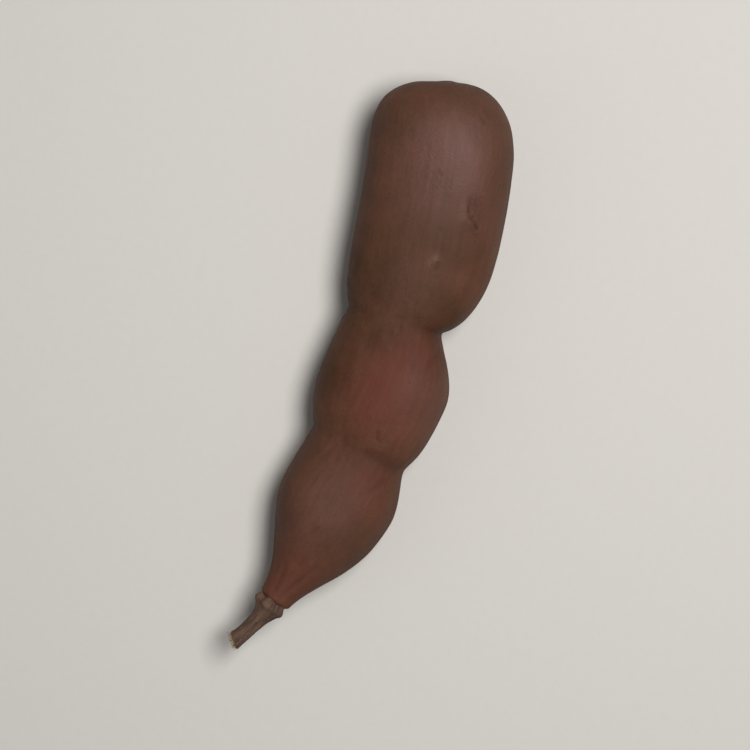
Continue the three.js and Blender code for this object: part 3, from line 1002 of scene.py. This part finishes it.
def swept_stalk(tree, given, end):
    """Sweeps the stalk along its path, and keeps each point's place along it, on its rim and in its cut."""
    length = add_node(tree, "GeometryNodeSplineParameter").outputs["Length"]
    path = add_node(
        tree, "GeometryNodeStoreNamedAttribute",
        {"Geometry": given["Geometry"], "Name": "along", "Value": length}, data_type="FLOAT", domain="POINT",
    )
    circle = add_node(
        tree, "GeometryNodeCurvePrimitiveCircle", {"Resolution": given["Sides"], "Radius": 1}, mode="RADIUS"
    )
    position = add_node(tree, "GeometryNodeInputPosition")
    girth = add_node(tree, "ShaderNodeVectorMath", {0: position, "Scale": 2 * MM}, operation="SCALE")
    profile = add_node(
        tree, "GeometryNodeStoreNamedAttribute", {"Geometry": circle, "Name": "rim", "Value": girth},
        data_type="FLOAT_VECTOR", domain="POINT",
    )
    radius = add_node(tree, "GeometryNodeInputRadius")
    swept = add_node(
        tree, "GeometryNodeCurveToMesh",
        {"Curve": path, "Profile Curve": profile, "Scale": radius, "Fill Caps": True},
    )
    cut = add_node(
        tree, "ShaderNodeMapRange", {0: given["along"], 1: end - CUT_EDGE * MM, 2: end + CUT_STEP * MM}
    )
    return add_node(
        tree, "GeometryNodeStoreNamedAttribute", {"Geometry": swept, "Name": "cut", "Value": cut},
        data_type="FLOAT", domain="POINT",
    )


def lobed_collar(tree, given, geometry):
    """Raises the five scars of the sepals on the collar."""
    parts = add_node(tree, "ShaderNodeSeparateXYZ", {0: given["rim"]})
    across, up = parts.outputs["X"], parts.outputs["Y"]
    angle = add_node(tree, "ShaderNodeMath", {0: up, 1: across}, operation="ARCTAN2")
    fivefold = add_node(tree, "ShaderNodeMath", {0: angle, 1: 5}, operation="MULTIPLY")
    lobes = add_node(tree, "ShaderNodeMath", {0: fivefold}, operation="COSINE")
    height = add_node(tree, "ShaderNodeMath", {0: lobes, 1: given["Lobe height"]}, operation="MULTIPLY")
    near = add_node(
        tree, "ShaderNodeMapRange",
        {0: given["along"], 1: COLLAR["whole_to"] * MM, 2: COLLAR["end"] * MM, 3: 1, 4: 0},
        interpolation_type="SMOOTHSTEP",
    )
    return pushed_out(tree, geometry, height, near)


def wrinkled_bark(tree, given, geometry):
    """Wrinkles the bark along the stalk, but not the cut end."""
    lengthwise = add_node(tree, "ShaderNodeMath", {0: given["along"], 1: BARK_DRAW}, operation="MULTIPLY")
    third = add_node(tree, "ShaderNodeCombineXYZ", {2: lengthwise})
    place = add_node(tree, "ShaderNodeVectorMath", {0: given["rim"], 1: third}, operation="ADD")
    finer = add_node(tree, "ShaderNodeMath", {0: 1, 1: given["Bark width"]}, operation="DIVIDE")
    wrinkles = add_node(
        tree, "ShaderNodeTexNoise",
        {"Vector": place, "W": given["Seed"], "Scale": finer, "Detail": 3, "Roughness": 0.55},
        noise_dimensions="4D",
    )
    centred = add_node(tree, "ShaderNodeMapRange", {0: wrinkles, 3: -0.5, 4: 0.5})
    height = add_node(tree, "ShaderNodeMath", {0: centred, 1: given["Bark height"]}, operation="MULTIPLY")
    uncut = add_node(tree, "ShaderNodeMath", {0: 1, 1: given["cut"]}, operation="SUBTRACT")
    return pushed_out(tree, geometry, height, uncut)


def torn_end(tree, given, geometry, direction, tip, end):
    """Moves the points near the cut along the stalk: by the cut's slant on their side, and by its tears."""
    position = add_node(tree, "GeometryNodeInputPosition")
    share = add_node(
        tree, "ShaderNodeMath", {0: given["along"], 1: end}, operation="DIVIDE", use_clamp=True
    )
    late = add_node(tree, "ShaderNodeMath", {0: share, 1: CUT_START}, operation="POWER")
    from_tip = add_node(tree, "ShaderNodeVectorMath", {0: position, 1: tuple(tip)}, operation="SUBTRACT")
    across = Vector((-direction[1], direction[0], 0)).normalized() * math.tan(math.radians(STALK_CUT))
    slant = add_node(tree, "ShaderNodeVectorMath", {0: from_tip, 1: tuple(across)}, operation="DOT_PRODUCT")
    fibres = add_node(tree, "ShaderNodeTexNoise", {"Vector": position, "Scale": 1 / (0.35 * MM), "Detail": 2})
    torn = add_node(tree, "ShaderNodeMath", {0: fibres, 1: 0.5}, operation="SUBTRACT")
    tears = add_node(tree, "ShaderNodeMath", {0: torn, 1: given["Tear height"]}, operation="MULTIPLY")
    slanted = add_node(tree, "ShaderNodeMath", {0: slant.outputs["Value"], 1: late}, operation="MULTIPLY")
    onwards = add_node(
        tree, "ShaderNodeMath", {0: tears, 1: given["cut"], 2: slanted}, operation="MULTIPLY_ADD"
    )
    offset = add_node(
        tree, "ShaderNodeVectorMath", {0: tuple(direction), "Scale": onwards}, operation="SCALE"
    )
    return add_node(tree, "GeometryNodeSetPosition", {"Geometry": geometry, "Offset": offset})


def stalk_tree(inputs, direction, tip, end):
    """Geometry tree that grows the stalk out of its path: its collar, its bark and its torn end."""
    tree, given = geometry_tree("Stalk", inputs, ("along", "rim", "cut"))
    swept = swept_stalk(tree, given, end)
    lobed = lobed_collar(tree, given, swept)
    barked = wrinkled_bark(tree, given, lobed)
    close_tree(tree, torn_end(tree, given, barked, direction, tip, end), given["Material"])
    return tree


def wart_tree(inputs):
    """Geometry tree that scatters small corky warts over the bark."""
    tree, given = geometry_tree("Bark warts", inputs, ("cut",))
    uncut = add_node(tree, "ShaderNodeMath", {0: 1, 1: given["cut"]}, operation="SUBTRACT")
    ball = add_node(tree, "GeometryNodeMeshIcoSphere", {"Radius": 0.5, "Subdivisions": 2})
    wart = add_node(tree, "GeometryNodeTransform", {"Geometry": ball, "Scale": (1, 0.6, 0.4)})
    spread = {"Distance Min": 0.9 * MM, "Density Max": WART_DENSITY, "Density Factor": uncut}
    warts = scattered(tree, given, wart, given["Wart width"], spread, smallest=0.4, tilt=0.1)
    close_tree(tree, warts, given["Material"])
    return tree


def fibre_tree(inputs):
    """Geometry tree that stands torn fibres up on the cut end."""
    tree, given = geometry_tree("Torn fibres", inputs, ("cut",))
    fibre = add_node(
        tree, "GeometryNodeMeshCone", {"Vertices": 7, "Radius Top": 0.02, "Radius Bottom": 0.11, "Depth": 1}
    )
    spread = {"Distance Min": 0.28 * MM, "Density Max": FIBRE_DENSITY, "Density Factor": given["cut"]}
    fibres = scattered(tree, given, fibre, given["Fibre length"], spread, smallest=0.3, tilt=0.35)
    close_tree(tree, fibres, given["Material"])
    return tree


class TAMARIND_OT_shell(bpy.types.Operator):
    """Grow the shell, which stands for the frame's pod"""

    bl_idname = "tamarind.shell"
    bl_label = "Shell"

    def execute(self, context):
        look = context.scene.tamarind_shell
        points, straight, values = shell_points(look)
        points = (points + frame_shift(points, "pod")) * MM
        mesh = skin("shell", points)
        store(mesh, "straight", straight * MM)
        for name, value in values.items():
            store(mesh, name, value)
        reliefs = [f"{form}_{size}" for form in ("swell", "pucker", "vein") for size in ("height", "width")]
        inputs = tree_inputs(look, ("seed", *reliefs), shell_material(look))
        shell = grown("shell", mesh, shell_tree(inputs), inputs)
        lift = min(vertex.co.z for vertex in shell.data.vertices)
        shell.data.transform(Matrix.Translation((0, 0, -lift)))
        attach(shell, "root")
        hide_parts("pod")
        return {"FINISHED"}


class TAMARIND_OT_scurf(bpy.types.Operator):
    """Scatter flakes of scurf over the shell"""

    bl_idname = "tamarind.scurf"
    bl_label = "Scurf"

    def execute(self, context):
        look = context.scene.tamarind_scurf
        inputs = tree_inputs(look, ("seed", "spacing", "flake_width", "flatness"), scurf_material(look))
        source = bpy.data.objects["shell"].data.copy()
        scurf = grown("scurf", source, scurf_tree(inputs), inputs)
        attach(scurf, "root")
        return {"FINISHED"}


class TAMARIND_OT_stalk(bpy.types.Operator):
    """Grow the stub of stalk, which stands for the frame's stalk, with its warts and its torn fibres"""

    bl_idname = "tamarind.stalk"
    bl_label = "Stalk"

    def execute(self, context):
        look = context.scene.tamarind_stalk
        points, _, _ = shell_points(context.scene.tamarind_shell)
        rows, direction = stalk_path(look.steps, frame_shift(points, "pod"))
        end = (STALK_LENGTH + STALK_ROOT) * MM
        names = ("seed", "sides", "lobe_height", "bark_height", "bark_width", "tear_height")
        inputs = tree_inputs(look, names, bark_material(look, end))
        tree = stalk_tree(inputs, direction, rows[-1][:3], end)
        stalk = grown("stalk_bark", stalk_curve(rows), tree, inputs)
        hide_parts("stalk")

        inputs = tree_inputs(look, ("seed", "wart_width"), cork_material(look))
        warts = grown("stalk_warts", stalk.data.copy(), wart_tree(inputs), inputs)
        inputs = tree_inputs(look, ("seed", "fibre_length"), fibre_material(look))
        fibres = grown("stalk_fibres", stalk.data.copy(), fibre_tree(inputs), inputs)
        for piece in (stalk, warts, fibres):
            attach(piece, "root")
        return {"FINISHED"}


def facing(place, target, right):
    """A matrix that stands a camera or light at a place, points it at a target and gives its right side."""
    back = (place - target).normalized()
    right = (right - back * right.dot(back)).normalized()
    up = back.cross(right)
    matrix = Matrix((right, up, back)).transposed().to_4x4()
    matrix.translation = place
    return matrix


def soft_light(name, place, target, right, width, length, power):
    lamp = bpy.data.lights.new(name, "AREA")
    lamp.shape = "ELLIPSE"
    lamp.size = width
    lamp.size_y = length
    lamp.energy = power
    light = bpy.data.objects.new(name, lamp)
    light.matrix_world = facing(place, target, right)
    bpy.context.scene.collection.objects.link(light)


class TAMARIND_OT_studio(bpy.types.Operator):
    """Lay the floor and set the lights and the camera"""

    bl_idname = "tamarind.studio"
    bl_label = "Studio"

    def execute(self, context):
        look = context.scene.tamarind_studio
        low, high = (Vector(corner) for corner in FRAME_BOX)
        target = (low + high) / 2
        lean = math.radians(LEAN)
        right = Vector((math.cos(lean), math.sin(lean), 0))
        up = Vector((-math.sin(lean), math.cos(lean), 0))

        half = look.floor_size / 2
        corners = [(-half, -half, 0), (half, -half, 0), (half, half, 0), (-half, half, 0)]
        board = bpy.data.meshes.new("floor")
        board.from_pydata(corners, [], [(0, 1, 2, 3)])
        board.materials.append(board_material(look))
        floor = bpy.data.objects.new("floor", board)
        context.scene.collection.objects.link(floor)

        tip = math.radians(CAMERA_TIP)
        camera = bpy.data.objects.new("camera", bpy.data.cameras.new("camera"))
        camera.data.sensor_width = SENSOR_WIDTH
        camera.data.lens = SENSOR_WIDTH * CAMERA_DISTANCE / FRAME_HEIGHT
        place = target + CAMERA_DISTANCE * (math.sin(tip) * up + math.cos(tip) * Vector((0, 0, 1)))
        camera.matrix_world = facing(place, target, right)
        context.scene.collection.objects.link(camera)
        context.scene.camera = camera

        for name, light in LIGHTS.items():
            place = target + light["right"] * right + light["up"] * up + Vector((0, 0, light["over"]))
            power = getattr(look, name + "_power")
            soft_light(name, place, target, right, light["width"], light["length"], power)

        world = bpy.data.worlds.new("even light")
        world.use_nodes = True
        world.node_tree.nodes["Background"].inputs["Strength"].default_value = look.sky
        world.node_tree.nodes["Background"].inputs["Color"].default_value = (1, 1, 1, 1)
        context.scene.world = world
        context.scene.view_settings.view_transform = "Standard"
        return {"FINISHED"}


class TAMARIND_PT_panel(bpy.types.Panel):
    """Lists the pod's pieces and their settings"""

    bl_idname = "TAMARIND_PT_panel"
    bl_label = "Tamarind Pod"
    bl_space_type = "VIEW_3D"
    bl_region_type = "UI"
    bl_category = "Tamarind"

    def draw(self, context):
        for operator, group in PIECES:
            box = self.layout.box()
            box.operator(operator.bl_idname)
            settings = getattr(context.scene, group)
            for name in settings.bl_rna.properties.keys():
                if name not in ("rna_type", "name"):
                    box.prop(settings, name)


PIECES = (
    (TAMARIND_OT_shell, "tamarind_shell"),
    (TAMARIND_OT_scurf, "tamarind_scurf"),
    (TAMARIND_OT_stalk, "tamarind_stalk"),
    (TAMARIND_OT_studio, "tamarind_studio"),
)
GROUPS = {
    "tamarind_shell": ShellSettings,
    "tamarind_scurf": ScurfSettings,
    "tamarind_stalk": StalkSettings,
    "tamarind_studio": StudioSettings,
}


def register():
    for name, group in GROUPS.items():
        bpy.utils.register_class(group)
        setattr(bpy.types.Scene, name, PointerProperty(type=group))
    for operator, _ in PIECES:
        bpy.utils.register_class(operator)
    bpy.utils.register_class(TAMARIND_PT_panel)


def unregister():
    bpy.utils.unregister_class(TAMARIND_PT_panel)
    for operator, _ in reversed(PIECES):
        bpy.utils.unregister_class(operator)
    for name, group in reversed(GROUPS.items()):
        delattr(bpy.types.Scene, name)
        bpy.utils.unregister_class(group)


def main():
    register()
    bpy.ops.tamarind.studio()
    bpy.ops.tamarind.shell()
    bpy.ops.tamarind.scurf()
    bpy.ops.tamarind.stalk()


if __name__ == "__main__":
    main()
